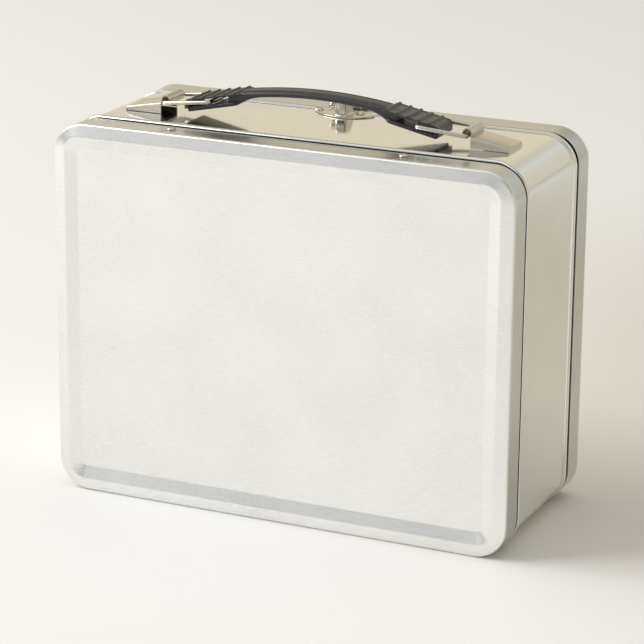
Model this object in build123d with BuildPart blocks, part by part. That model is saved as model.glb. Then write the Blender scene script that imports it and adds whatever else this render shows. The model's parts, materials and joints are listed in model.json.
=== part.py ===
from build123d import *
import os
from math import atan2, cos, degrees, radians, sin, tan

# Metal lunch box: a tinplate case with a fixed front cover and a hinged rear cover,
# a latch on top and a plastic carrying handle on two wire links.
# Millimetres. Origin at the middle of the footprint, +X right, -Y front, +Z up.

# ---- driving dimensions ----
WIDTH = 222.0            # overall width of the covers
HEIGHT = 174.5           # overall height of the covers
DEPTH = 97.0             # front panel rim to rear panel rim
CORNER = 15.0            # outer corner radius of the covers
SHEET = 0.5              # tinplate thickness
FRONT_FLANGE = 16.0      # depth of the front cover's flange
REAR_FLANGE = 14.2       # depth of the rear cover's flange
EDGE = 1.6               # rounding between a cover's face and its flange
RIM = 6.5                # flat rim around a cover's recessed panel
SLOPE = 6.0              # width of the slope down to the panel
RECESS = 2.0             # depth of the recessed panel

BAND_INSET = 0.9         # band surface inside the covers' outline
BEAD_INSET = 0.3         # crest of the band's rolled beads
BEAD = 2.0               # width of a bead along Y
FRONT_NECK_INSET = SHEET + 0.1
REAR_NECK_INSET = SHEET + 0.6
FRONT_NECK = 12.0        # length of neck inside the front flange
REAR_NECK = 5.0          # length of neck inside the rear cover
SEAM_GAP = 1.2           # open seam between the band and the rear cover

FRONT = -DEPTH / 2
REAR = DEPTH / 2
FRONT_SEAM = FRONT + FRONT_FLANGE
REAR_RIM = REAR - REAR_FLANGE
BAND_END = REAR_RIM - SEAM_GAP
BAND_TOP = HEIGHT - BAND_INSET

# hinge under the rear seam
HINGE_Y = REAR_RIM - 0.4
HINGE_Z = 1.25
KNUCKLE_R = 1.1
PIN_R = 0.6
PIN_PLAY = 0.05
HINGE_LENGTH = 62.0
KNUCKLES = 5
KNUCKLE_GAP = 0.4
LEAF = 0.5
LEAF_RIVET_X = 22.0
RIM_CUTBACK = 1.2        # the door's bottom rim stands back so that it can swing under the band

# latch, a little to the left of the middle
LATCH_X = -3.4
PLATE = 0.7
PLATE_HALF = 14.2
PLATE_FRONT = 18.3
PLATE_BACK = 30.8
PLATE_TIP_Y = 26.6       # where the plate is widest
HOUSING_W = 5.8
HOUSING_WALL = 0.7
HOUSING_FRONT = 20.4
HOUSING_BACK = 29.0
HOUSING_H = 6.8
LATCH_PIN_Y = 24.6
LATCH_PIN_R = 0.9
HOOK_W = 3.8
HOOK_T = 1.2

# handle hardware
HANDLE_Y = -2.0          # middle of the handle, its links and its brackets
BARREL_X = 73.8
BARREL_Z = 180.05
BARREL_R = 2.4
BARREL_BORE = 1.8
BARREL_HALF = 7.2
BRACKET_IN = 75.8
BRACKET_OUT = 93.6
BRACKET_HALF = 8.4
BRACKET_HIGH = 5.2       # height of the bracket's inner end above the band
BRACKET_LOW = 1.9
BRACKET_T = 0.7
BRACKET_LEAN_IN = 0.9    # both ends of the wedge lean inwards by these
BRACKET_LEAN_OUT = 0.7
WIRE_R = 0.95
WIRE_PLAY = 0.05         # between the wire and the barrel's bore, below the wire
LINK_PIVOT_Z = BARREL_Z - BARREL_BORE + WIRE_R + WIRE_PLAY
LINK_HALF = 9.9          # wire legs run beside the handle, this far from its middle
LINK_IN = 50.5           # the wire's inner leg lies in the handle's slot here
WIRE_BEND = 1.7

# handle
HANDLE_X = -1.4          # the grip lies a little to the left in the play of its links
GRIP_TOP = 189.8
GRIP_T = 2.6
GRIP_SAG = 2.8           # drop of the arch from its middle to where the ribs begin
GRIP_HALF = 6.2
ARCH_END = 36.0
END_TILT = 0.20          # slope of the ribbed ends
PLATE_END = 62.2
LIP_END = 61.2
END_HALF = 8.4
LIP_HALF = 7.6
SLOT_MID_Z = 181.45      # middle of the slot, at LINK_IN from the handle's middle
SLOT_H = 3.0
SLOT_IN = 41.0
SLOT_WALL_IN = 60.3
WALL_HALF = 5.5          # half width of the wall that closes the slot
SKIN_T = 1.05            # thickness of the plate under the ribs
LIP_T = 1.75
WEB_TIP = 36.6           # the web's lower corner, where the lip begins
RIB_COUNT = 5
RIB_START = 37.2
RIB_PITCH = 5.1
RIB_H = 0.6
RIB_W = 1.1

os.makedirs("parts", exist_ok=True)


def finish(builder, name):
    """Label a finished sub-part and write its STEP file."""
    builder.part.label = name
    export_step(builder.part, f"parts/{name}.step")


def rounded_outline(inset):
    """The covers' outline, a rounded rectangle, brought in by inset."""
    RectangleRounded(WIDTH - 2 * inset, HEIGHT - 2 * inset, CORNER - inset)


def tray_form(inset, rim_y, face_y):
    """Solid form of a cover from its open rim to its face, with the pressed panel."""
    outward = 1 if face_y > rim_y else -1
    face = face_y - outward * inset
    rim_plane = Plane((0, rim_y, HEIGHT / 2), x_dir=(1, 0, 0), z_dir=(0, outward, 0))
    face_plane = Plane((0, face, HEIGHT / 2), x_dir=(1, 0, 0), z_dir=(0, -outward, 0))
    with BuildPart() as form:
        with BuildSketch(rim_plane):
            rounded_outline(inset)
        extrude(amount=abs(face - rim_y))
        face_edges = form.faces().sort_by(Axis.Y)[-1 if outward > 0 else 0].edges()
        fillet(face_edges, radius=EDGE - inset)
        with BuildSketch(face_plane):
            RectangleRounded(WIDTH - 2 * RIM, HEIGHT - 2 * RIM, CORNER - RIM)
        with BuildSketch(face_plane.offset(RECESS)):
            edge = RIM + SLOPE
            RectangleRounded(WIDTH - 2 * edge, HEIGHT - 2 * edge, 4.0)
        loft(mode=Mode.SUBTRACT)
    return form.part


# ---- covers ----
front_outer = tray_form(0.0, FRONT_SEAM, FRONT)
front_inner = tray_form(SHEET, FRONT_SEAM, FRONT)
COVER_RIVET_X = 56.0
COVER_RIVET_Y = FRONT_SEAM - 5.4

with BuildPart() as front_cover:
    add(front_outer)
    add(front_inner, mode=Mode.SUBTRACT)
    with BuildSketch(Plane.XY.offset(HEIGHT - 2 * SHEET)):
        with Locations((-COVER_RIVET_X, COVER_RIVET_Y), (COVER_RIVET_X, COVER_RIVET_Y)):
            Circle(0.8)
    extrude(amount=4 * SHEET, mode=Mode.SUBTRACT)
finish(front_cover, "front_cover")

rear_outer = tray_form(0.0, REAR_RIM, REAR)
rear_inner = tray_form(SHEET, REAR_RIM, REAR)
DOOR_RIVET_Y = HINGE_Y + 6.5
STRIKE_RIVET_X = 7.5
STRIKE_Y = REAR_RIM + 5.0
strike_rivet_points = [(LATCH_X - STRIKE_RIVET_X, STRIKE_Y), (LATCH_X + STRIKE_RIVET_X, STRIKE_Y)]

with BuildPart() as rear_cover:
    add(rear_outer)
    add(rear_inner, mode=Mode.SUBTRACT)
    with BuildSketch(Plane.XY.offset(-1)):
        with Locations((0, REAR_RIM)):
            Rectangle(WIDTH, 2 * RIM_CUTBACK)
    extrude(amount=HINGE_Z + KNUCKLE_R + 1.1, mode=Mode.SUBTRACT)
    with BuildSketch(Plane.XY.offset(-1)):
        with Locations((-LEAF_RIVET_X, DOOR_RIVET_Y), (LEAF_RIVET_X, DOOR_RIVET_Y)):
            Circle(1.0)
    extrude(amount=3, mode=Mode.SUBTRACT)
    with BuildSketch(Plane.XY.offset(HEIGHT - 2)):
        with Locations(*strike_rivet_points):
            Circle(0.8)
    extrude(amount=4, mode=Mode.SUBTRACT)
finish(rear_cover, "rear_cover")

# ---- band: one strip profile carried around the outline ----
CASE_RIVET_Y = HINGE_Y - 7.5
BEAD_RISE = BAND_INSET - BEAD_INSET

with BuildPart() as band:
    with BuildLine() as band_path:
        half_w, half_h = WIDTH / 2, HEIGHT / 2
        Polyline((0, 0, 0), (half_w, 0, 0), (half_w, 0, HEIGHT), (-half_w, 0, HEIGHT),
                 (-half_w, 0, 0), (0, 0, 0))
        fillet(band_path.vertices().filter_by(lambda v: abs(v.X) > 1), radius=CORNER)
    # the profile's own X runs inward (+Z here, at the bottom of the box), its own Y along +Y
    with BuildSketch(Plane((0, 0, 0), x_dir=(0, 0, 1), z_dir=(-1, 0, 0))) as band_profile:
        with BuildLine():
            neck_start = FRONT_SEAM - FRONT_NECK
            front_bead = FRONT_SEAM + BEAD
            rear_bead = BAND_END - BEAD
            outer = [
                (FRONT_NECK_INSET, neck_start), (FRONT_NECK_INSET, FRONT_SEAM),
                (BEAD_INSET, FRONT_SEAM + 0.5), (BEAD_INSET, front_bead - 0.5),
                (BAND_INSET, front_bead), (BAND_INSET, rear_bead),
                (BEAD_INSET, rear_bead + 0.5), (BEAD_INSET, BAND_END - 0.5),
                (REAR_NECK_INSET, BAND_END), (REAR_NECK_INSET, REAR_RIM + REAR_NECK),
            ]
            inner = [(inset + SHEET, y) for inset, y in reversed(outer)]
            Polyline(*outer, *inner, close=True)
        make_face()
    sweep(path=band_path.wires()[0], transition=Transition.RIGHT)
    # window in the neck and bead for the hinge
    with BuildSketch(Plane.XY.offset(-1)):
        with Locations((0, REAR_RIM + 2)):
            Rectangle(HINGE_LENGTH + 2, 2 * (REAR_NECK + 1))
    extrude(amount=4, mode=Mode.SUBTRACT)
    with BuildSketch(Plane.XY.offset(-1)):
        with Locations((-LEAF_RIVET_X, CASE_RIVET_Y), (LEAF_RIVET_X, CASE_RIVET_Y)):
            Circle(1.0)
    extrude(amount=4, mode=Mode.SUBTRACT)
    with BuildSketch(Plane.XY.offset(HEIGHT - 4)):
        with Locations((-COVER_RIVET_X, COVER_RIVET_Y), (COVER_RIVET_X, COVER_RIVET_Y)):
            Circle(0.8)
    extrude(amount=6, mode=Mode.SUBTRACT)
finish(band, "band")


# ---- rivets through the covers and the band ----
def rivet_group(points, top, shank_r, shank_len, head_r, head_h):
    """Domed rivets on a horizontal sheet whose outer side is at height top."""
    with BuildPart() as one:
        with BuildSketch(Plane.XY.offset(-shank_len)):
            Circle(shank_r)
        extrude(amount=shank_len)
        with BuildSketch(Plane.XY):
            Circle(head_r)
        extrude(amount=head_h)
        fillet(one.edges().group_by(Axis.Z)[-1], radius=0.9 * head_h)
    with BuildPart() as group:
        for x, y in points:
            add(Pos(x, y, top) * one.part)
    return group.part


def mirrored_points(x, y):
    return [(-x, y), (x, y)]


cover_rivets = rivet_group(mirrored_points(COVER_RIVET_X, COVER_RIVET_Y), HEIGHT, 0.75,
                           FRONT_NECK_INSET + SHEET + 0.3, 2.1, 1.1)
with BuildPart() as front_cover_rivets:
    add(cover_rivets)
finish(front_cover_rivets, "front_cover_rivets")

# ---- hinge ----
knuckle_pitch = HINGE_LENGTH / KNUCKLES
hinge_axis_plane = Plane((-HINGE_LENGTH / 2, HINGE_Y, HINGE_Z), x_dir=(0, 1, 0), z_dir=(1, 0, 0))


def knuckle_spans(parity):
    """Start and length along the hinge of the knuckles that belong to one leaf."""
    spans = []
    for i in range(KNUCKLES):
        if i % 2 == parity:
            spans.append((i * knuckle_pitch + KNUCKLE_GAP / 2, knuckle_pitch - KNUCKLE_GAP))
    return spans


def hinge_leaf(parity, leaf_bottom, leaf_near, leaf_far, rivet_y):
    """A leaf with its knuckles; leaf_near is the leaf's edge at the knuckles."""
    low, high = sorted((leaf_near, leaf_far))
    with BuildPart() as leaf:
        with BuildSketch(Plane.XY.offset(leaf_bottom)):
            with Locations((0, (low + high) / 2)):
                Rectangle(HINGE_LENGTH, high - low)
                with Locations(*mirrored_points(LEAF_RIVET_X, rivet_y - (low + high) / 2)):
                    Circle(1.0, mode=Mode.SUBTRACT)
        extrude(amount=LEAF)
        # slots in the leaf's edge for the other leaf's knuckles
        with BuildSketch(hinge_axis_plane):
            Circle(KNUCKLE_R + 0.3)
        extrude(amount=HINGE_LENGTH, mode=Mode.SUBTRACT)
        for start, length in knuckle_spans(parity):
            with BuildSketch(hinge_axis_plane.offset(start)):
                Circle(KNUCKLE_R)
                reach = KNUCKLE_R + 1.0
                side = 1 if leaf_far > HINGE_Y else -1
                with Locations((side * reach / 2, leaf_bottom + LEAF / 2 - HINGE_Z)):
                    Rectangle(reach, LEAF)
                Circle(PIN_R + PIN_PLAY, mode=Mode.SUBTRACT)
            extrude(amount=length)
    return leaf.part


case_leaf = hinge_leaf(0, BAND_INSET + SHEET, HINGE_Y - 0.9, HINGE_Y - 13, CASE_RIVET_Y)
with BuildPart() as case_hinge_leaf:
    add(case_leaf)
finish(case_hinge_leaf, "case_hinge_leaf")

door_leaf = hinge_leaf(1, SHEET, HINGE_Y + 0.9, HINGE_Y + 11, DOOR_RIVET_Y)
with BuildPart() as door_hinge_leaf:
    add(door_leaf)
finish(door_hinge_leaf, "door_hinge_leaf")

with BuildPart() as hinge_pin:
    with BuildSketch(hinge_axis_plane):
        Circle(PIN_R)
    extrude(amount=HINGE_LENGTH)
finish(hinge_pin, "hinge_pin")

case_rivets = rivet_group(mirrored_points(LEAF_RIVET_X, CASE_RIVET_Y), BAND_INSET + SHEET + LEAF,
                          0.95, LEAF + SHEET, 2.0, 0.9)
with BuildPart() as case_hinge_rivets:
    add(case_rivets)
finish(case_hinge_rivets, "case_hinge_rivets")

door_rivets = rivet_group(mirrored_points(LEAF_RIVET_X, DOOR_RIVET_Y), SHEET + LEAF,
                          0.95, LEAF + SHEET, 1.9, 0.8)
with BuildPart() as door_hinge_rivets:
    add(door_rivets)
finish(door_hinge_rivets, "door_hinge_rivets")

# ---- latch ----
PLATE_TOP = BAND_TOP + PLATE
LATCH_PIN_Z = PLATE_TOP + 4.2
LATCH_RIVET_X = 10.4
LATCH_RIVET_Y = 28.0
BACK_HALF = 6.5          # half the straight rear edge of the plate
PIN_PROUD = 0.3          # the pin stands out of each ear


def latch_plane(half_width):
    """Sketch plane on the left side of a latch piece, half_width from the latch's middle."""
    return Plane.YZ.offset(LATCH_X - half_width)


with BuildPart() as latch_plate:
    with BuildSketch(Plane.XY.offset(BAND_TOP)):
        with Locations((LATCH_X, 0)):
            with BuildLine():
                shoulder_x, shoulder_y = 0.58 * PLATE_HALF, PLATE_FRONT + 2.2
                Spline((-PLATE_HALF, PLATE_TIP_Y), (-shoulder_x, shoulder_y), (0, PLATE_FRONT),
                       (shoulder_x, shoulder_y), (PLATE_HALF, PLATE_TIP_Y))
                heel_x, heel_y = (PLATE_HALF + BACK_HALF) / 2 + 1.0, PLATE_BACK - 0.9
                Spline((PLATE_HALF, PLATE_TIP_Y), (heel_x, heel_y), (BACK_HALF, PLATE_BACK))
                Line((BACK_HALF, PLATE_BACK), (-BACK_HALF, PLATE_BACK))
                Spline((-BACK_HALF, PLATE_BACK), (-heel_x, heel_y), (-PLATE_HALF, PLATE_TIP_Y))
            make_face()
            with Locations(*mirrored_points(LATCH_RIVET_X, LATCH_RIVET_Y)):
                Circle(0.9, mode=Mode.SUBTRACT)
    extrude(amount=PLATE)
    # pivot housing: a strip bent round in plan, open to the rear
    housing_mid = (HOUSING_FRONT + HOUSING_BACK) / 2
    housing_len = HOUSING_BACK - HOUSING_FRONT
    with BuildSketch(Plane.XY.offset(PLATE_TOP)) as housing_plan:
        with Locations((LATCH_X, housing_mid)):
            Rectangle(HOUSING_W, housing_len)
        fillet(housing_plan.vertices().group_by(Axis.Y)[0], radius=1.6)
        with Locations((LATCH_X, housing_mid + HOUSING_WALL)):
            Rectangle(HOUSING_W - 2 * HOUSING_WALL, housing_len, mode=Mode.SUBTRACT)
    extrude(amount=HOUSING_H)
    with BuildSketch(latch_plane(HOUSING_W)):
        with Locations((LATCH_PIN_Y, LATCH_PIN_Z)):
            Circle(LATCH_PIN_R + PIN_PLAY)
    extrude(amount=2 * HOUSING_W, mode=Mode.SUBTRACT)
    # the ears slope down to the rear
    with BuildSketch(latch_plane(HOUSING_W)):
        with BuildLine():
            ear_top = PLATE_TOP + HOUSING_H
            ear_y = HOUSING_BACK - 3.2
            Polyline((ear_y, ear_top + 1), (ear_y, ear_top), (HOUSING_BACK + 1, PLATE_TOP + 1.5),
                     (HOUSING_BACK + 1, ear_top + 1), close=True)
        make_face()
    extrude(amount=2 * HOUSING_W, mode=Mode.SUBTRACT)
finish(latch_plate, "latch_plate")

plate_rivet_points = [(LATCH_X + x, y) for x, y in mirrored_points(LATCH_RIVET_X, LATCH_RIVET_Y)]
plate_rivets = rivet_group(plate_rivet_points, PLATE_TOP, 0.85, PLATE, 2.2, 1.2)
with BuildPart() as latch_rivets:
    add(plate_rivets)
finish(latch_rivets, "latch_rivets")

with BuildPart() as latch_pin:
    with BuildSketch(latch_plane(HOUSING_W / 2 + PIN_PROUD)):
        with Locations((LATCH_PIN_Y, LATCH_PIN_Z)):
            Circle(LATCH_PIN_R)
    extrude(amount=HOUSING_W + 2 * PIN_PROUD)
finish(latch_pin, "latch_pin")

# catch strip on the rear cover: a riveted strap with a rolled ridge across it
STRIKE_T = 0.8
RIDGE_R = 1.5
RIDGE_H = 0.8            # height of the ridge above the strap
RIDGE_Y = STRIKE_Y - 0.9
RIDGE_HALF = 3.0
STRIKE_TOP = HEIGHT + STRIKE_T
with BuildPart() as strike:
    with BuildSketch(Plane.XY.offset(HEIGHT)):
        with Locations((LATCH_X, STRIKE_Y)):
            SlotOverall(21.0, 5.6)
            with Locations(*mirrored_points(STRIKE_RIVET_X, 0)):
                Circle(0.8, mode=Mode.SUBTRACT)
    extrude(amount=STRIKE_T)
    with BuildSketch(latch_plane(RIDGE_HALF)):
        with Locations((RIDGE_Y, STRIKE_TOP + RIDGE_H - RIDGE_R)):
            Circle(RIDGE_R)
        with Locations((RIDGE_Y, STRIKE_TOP - 2)):
            Rectangle(8, 4, mode=Mode.SUBTRACT)
    extrude(amount=2 * RIDGE_HALF)
finish(strike, "strike")

catch_rivets = rivet_group(strike_rivet_points, STRIKE_TOP, 0.75, STRIKE_T + SHEET, 1.5, 0.8)
with BuildPart() as strike_rivets:
    add(catch_rivets)
finish(strike_rivets, "strike_rivets")

# the hook: a barrel on the pin, a flat arm over the seam, a lip that stops just above the ridge's
# height, and a thumb tab
ARM_Z = STRIKE_TOP + RIDGE_H + 0.9
LIP_Y = RIDGE_Y + RIDGE_R + 0.3
LIP_Z = STRIKE_TOP + RIDGE_H + 0.3
with BuildPart() as latch_hook:
    with BuildSketch(latch_plane(HOOK_W / 2)):
        with Locations((LATCH_PIN_Y, LATCH_PIN_Z)):
            Circle(LATCH_PIN_R + 1.3)
        with BuildLine():
            Polyline((LATCH_PIN_Y, LATCH_PIN_Z + 2.2), (LATCH_PIN_Y, LATCH_PIN_Z),
                     (LATCH_PIN_Y + 4.5, ARM_Z), (LIP_Y, ARM_Z), (LIP_Y, LIP_Z),
                     (LIP_Y + HOOK_T, LIP_Z), (LIP_Y + HOOK_T + 2.2, ARM_Z + 0.6),
                     (LIP_Y + HOOK_T + 1.8, ARM_Z + 1.5), (LIP_Y + HOOK_T - 0.4, ARM_Z + HOOK_T),
                     (LATCH_PIN_Y + 5.0, ARM_Z + HOOK_T), close=True)
        make_face()
        with Locations((LATCH_PIN_Y, LATCH_PIN_Z)):
            Circle(LATCH_PIN_R + PIN_PLAY, mode=Mode.SUBTRACT)
    extrude(amount=HOOK_W)
finish(latch_hook, "latch_hook")


# ---- handle brackets ----
def side_plane(half_width):
    """Sketch plane on the front side of a handle piece, half_width from the handle's middle."""
    return Plane.XZ.offset(half_width - HANDLE_Y)


def bracket_form():
    """Right-hand bracket: a hollow wedge open at its inner end, with a curled barrel."""
    base = BAND_TOP
    skin_low = base + BRACKET_LOW
    skin_high = base + BRACKET_HIGH
    with BuildPart() as form:
        with BuildSketch(side_plane(BRACKET_HALF)):
            with BuildLine():
                Polyline((BRACKET_IN, base), (BRACKET_OUT, base),
                         (BRACKET_OUT - BRACKET_LEAN_OUT, skin_low),
                         (BRACKET_IN + BRACKET_LEAN_IN, skin_high), close=True)
            make_face()
        extrude(amount=-2 * BRACKET_HALF)
        top_edges = form.faces().filter_by(lambda f: f.normal_at().Z > 0.5).edges()
        fillet(top_edges.sort_by(Axis.X)[1:], radius=0.6)
        with BuildSketch(side_plane(BRACKET_HALF - BRACKET_T)):
            with BuildLine():
                Polyline((BRACKET_IN - 1, base), (BRACKET_OUT - 0.9, base),
                         (BRACKET_OUT - 1.5, skin_low - BRACKET_T),
                         (BRACKET_IN + BRACKET_LEAN_IN, skin_high - BRACKET_T),
                         (BRACKET_IN - 1, skin_high - 0.5), close=True)
            make_face()
        extrude(amount=-2 * (BRACKET_HALF - BRACKET_T), mode=Mode.SUBTRACT)
        with BuildSketch(side_plane(BARREL_HALF)):
            with Locations((BARREL_X, BARREL_Z)):
                Circle(BARREL_R)
            with BuildLine():
                Polyline((BARREL_X + 1.2, BARREL_Z - 2.0), (BRACKET_IN + 1.8, skin_high - BRACKET_T - 0.2),
                         (BRACKET_IN + 1.8, skin_high - 0.2), (BARREL_X + 2.1, BARREL_Z - 1.1), close=True)
            make_face()
            with Locations((BARREL_X, BARREL_Z)):
                Circle(BARREL_BORE, mode=Mode.SUBTRACT)
        extrude(amount=-2 * BARREL_HALF)
    return form.part


right_bracket = bracket_form()
with BuildPart() as bracket_right:
    add(right_bracket)
finish(bracket_right, "bracket_right")

with BuildPart() as bracket_left:
    add(right_bracket.mirror(Plane.YZ))
finish(bracket_left, "bracket_left")


# ---- wire links ----
def slot_mid(x):
    """Height of the middle of the handle's slot, x from the handle's own middle."""
    return SLOT_MID_Z - END_TILT * (x - LINK_IN)


def link_form(inner_z):
    """Right-hand link: a closed rectangle of wire through the barrel and the handle's slot."""
    near, far = HANDLE_Y - LINK_HALF, HANDLE_Y + LINK_HALF
    start = (BARREL_X, HANDLE_Y, LINK_PIVOT_Z)
    with BuildPart() as form:
        with BuildLine() as path:
            Polyline(start, (BARREL_X, far, LINK_PIVOT_Z), (LINK_IN, far, inner_z),
                     (LINK_IN, near, inner_z), (BARREL_X, near, LINK_PIVOT_Z), start)
            fillet(path.vertices().filter_by(lambda v: abs(v.Y - HANDLE_Y) > 1), radius=WIRE_BEND)
        with BuildSketch(Plane(start, x_dir=(1, 0, 0), z_dir=(0, 1, 0))):
            Circle(WIRE_R)
        sweep(path=path.wires()[0])
    return form.part


right_link = link_form(slot_mid(LINK_IN - HANDLE_X))
with BuildPart() as link_right:
    add(right_link)
finish(link_right, "link_right")

left_link = link_form(slot_mid(LINK_IN + HANDLE_X)).mirror(Plane.YZ)
with BuildPart() as link_left:
    add(left_link)
finish(link_left, "link_left")


# ---- handle, drawn about its own middle ----
def skin_top(x):
    return slot_mid(x) + SLOT_H / 2 + SKIN_T


def lip_bottom(x):
    return slot_mid(x) - SLOT_H / 2 - LIP_T


def right_half_of_handle():
    with BuildPart() as form:
        # arch with its web, seen from the side
        with BuildSketch(side_plane(GRIP_HALF)):
            with BuildLine():
                arch_z = GRIP_TOP - GRIP_SAG
                ThreePointArc((0, GRIP_TOP), (ARCH_END / 2, GRIP_TOP - GRIP_SAG / 4), (ARCH_END, arch_z))
                Polyline((ARCH_END, arch_z), (SLOT_IN, skin_top(SLOT_IN)), (SLOT_IN, lip_bottom(SLOT_IN)),
                         (WEB_TIP, lip_bottom(WEB_TIP)))
                under_mid = (0, GRIP_TOP - GRIP_T)
                under_end = (21.7, GRIP_TOP - GRIP_T - 1.2)
                Spline((WEB_TIP, lip_bottom(WEB_TIP)), (33.6, 183.0), (29.4, 184.7), under_end,
                       tangents=((-1, 1), (-1, 0.11)))
                ThreePointArc(under_end, (under_end[0] / 2, under_mid[1] - 0.3), under_mid)
                Line(under_mid, (0, GRIP_TOP))
            make_face()
        extrude(amount=-2 * GRIP_HALF)
        # plate under the ribs
        plate_start = ARCH_END - 1
        with BuildSketch(side_plane(END_HALF)):
            with BuildLine():
                Polyline((plate_start, skin_top(plate_start) - SKIN_T),
                         (PLATE_END, skin_top(PLATE_END) - SKIN_T), (PLATE_END, skin_top(PLATE_END)),
                         (plate_start, skin_top(plate_start)), close=True)
            make_face()
        extrude(amount=-2 * END_HALF)
        # ribs across the plate
        for i in range(RIB_COUNT):
            x = RIB_START + i * RIB_PITCH
            foot, crest = skin_top(x) - 0.3, skin_top(x) + RIB_H
            with BuildSketch(side_plane(END_HALF)):
                with BuildLine():
                    Polyline((x - RIB_W / 2, foot), (x + RIB_W / 2, foot), (x + RIB_W / 2 - 0.1, crest),
                             (x - RIB_W / 2 + 0.1, crest), close=True)
                make_face()
            extrude(amount=-2 * END_HALF)
        # lower lip
        lip_start = SLOT_IN - 3
        with BuildSketch(side_plane(LIP_HALF)):
            with BuildLine():
                Polyline((lip_start, lip_bottom(lip_start) + LIP_T), (LIP_END, lip_bottom(LIP_END) + LIP_T),
                         (LIP_END, lip_bottom(LIP_END) + 0.5), (lip_start, lip_bottom(lip_start)),
                         close=True)
            make_face()
        extrude(amount=-2 * LIP_HALF)
        # wall that closes the slot's outer end
        with BuildSketch(side_plane(WALL_HALF)):
            with BuildLine():
                Polyline((SLOT_WALL_IN, lip_bottom(SLOT_WALL_IN) + LIP_T - 0.5),
                         (LIP_END, lip_bottom(LIP_END) + LIP_T - 0.5),
                         (PLATE_END, skin_top(PLATE_END) - 0.5),
                         (SLOT_WALL_IN, skin_top(SLOT_WALL_IN) - 0.5), close=True)
            make_face()
        extrude(amount=-2 * WALL_HALF)
    return form.part


half_handle = right_half_of_handle()
with BuildPart() as handle_grip:
    with Locations((HANDLE_X, 0, 0)):
        add(half_handle)
        add(half_handle.mirror(Plane.YZ))
finish(handle_grip, "handle_grip")
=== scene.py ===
import json
import math

import bpy
import numpy as np
from mathutils import Matrix, Vector


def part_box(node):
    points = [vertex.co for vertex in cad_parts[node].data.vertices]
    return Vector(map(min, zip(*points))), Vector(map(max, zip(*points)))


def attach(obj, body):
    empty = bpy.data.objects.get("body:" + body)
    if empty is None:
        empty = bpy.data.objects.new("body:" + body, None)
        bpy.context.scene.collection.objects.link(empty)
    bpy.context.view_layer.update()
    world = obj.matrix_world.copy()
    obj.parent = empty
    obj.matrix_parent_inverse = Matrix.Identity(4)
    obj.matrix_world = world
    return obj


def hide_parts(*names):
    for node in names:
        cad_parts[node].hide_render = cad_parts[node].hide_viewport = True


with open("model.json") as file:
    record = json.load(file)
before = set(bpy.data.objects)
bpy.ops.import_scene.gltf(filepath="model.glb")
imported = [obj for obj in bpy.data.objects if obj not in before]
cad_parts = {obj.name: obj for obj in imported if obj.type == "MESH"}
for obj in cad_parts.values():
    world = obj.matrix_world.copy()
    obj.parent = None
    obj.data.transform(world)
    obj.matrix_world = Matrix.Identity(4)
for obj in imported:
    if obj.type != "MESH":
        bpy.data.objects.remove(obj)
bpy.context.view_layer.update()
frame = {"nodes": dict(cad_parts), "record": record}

MM = 0.001
scene = bpy.context.scene
scene.view_settings.view_transform = "Standard"

# ---- sizes in millimetres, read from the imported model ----
cover_low, cover_high = (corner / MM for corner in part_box("front_cover"))
door_low, door_high = (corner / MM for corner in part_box("rear_cover"))
plate_low, plate_high = (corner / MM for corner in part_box("latch_plate"))
grip_low, grip_high = (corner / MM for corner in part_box("handle_grip"))
bracket_low, bracket_high = (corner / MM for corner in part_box("bracket_right"))
link_low, link_high = (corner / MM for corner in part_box("link_right"))
WIDTH = cover_high.x - cover_low.x
HEIGHT = cover_high.z - cover_low.z
FRONT, FRONT_SEAM = cover_low.y, cover_high.y
REAR_RIM, REAR = door_low.y, door_high.y
CORNER = 15.0            # outer radius of the covers' four corners
SHEET = 0.5
BAND_INSET = 0.9         # how far the band lies inside the covers' flanges
BAND_TOP = HEIGHT - BAND_INSET
BAND_END = REAR_RIM - 1.2
LATCH_X = (plate_low.x + plate_high.x) / 2
HANDLE_X = (grip_low.x + grip_high.x) / 2
HANDLE_Y = (grip_low.y + grip_high.y) / 2


# ---- small helpers ----
def linear(hex_colour):
    """sRGB hex to linear RGBA: the lower branch divides by 12.92, the upper is the 2.4 power curve."""
    value = np.array([int(hex_colour[i:i + 2], 16) for i in (1, 3, 5)]) / 255
    rgb = np.where(value <= 0.04045, value / 12.92, ((value + 0.055) / 1.055) ** 2.4)
    return (*rgb.tolist(), 1.0)


def add_node(tree, kind, settings=None, inputs=None, links=None):
    """Adds one node: settings are its properties, inputs its socket values, links map an input's name to
    an output socket."""
    node = tree.nodes.new(kind)
    for name, value in (settings or {}).items():
        setattr(node, name, value)
    for name, value in (inputs or {}).items():
        node.inputs[name].default_value = value
    for name, socket in (links or {}).items():
        tree.links.new(socket, node.inputs[name])
    return node


def new_material(name):
    """An empty node material and its output node."""
    material = bpy.data.materials.new(name)
    material.use_nodes = True
    material.node_tree.nodes.clear()
    output = material.node_tree.nodes.new("ShaderNodeOutputMaterial")
    return material, material.node_tree, output


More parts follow.
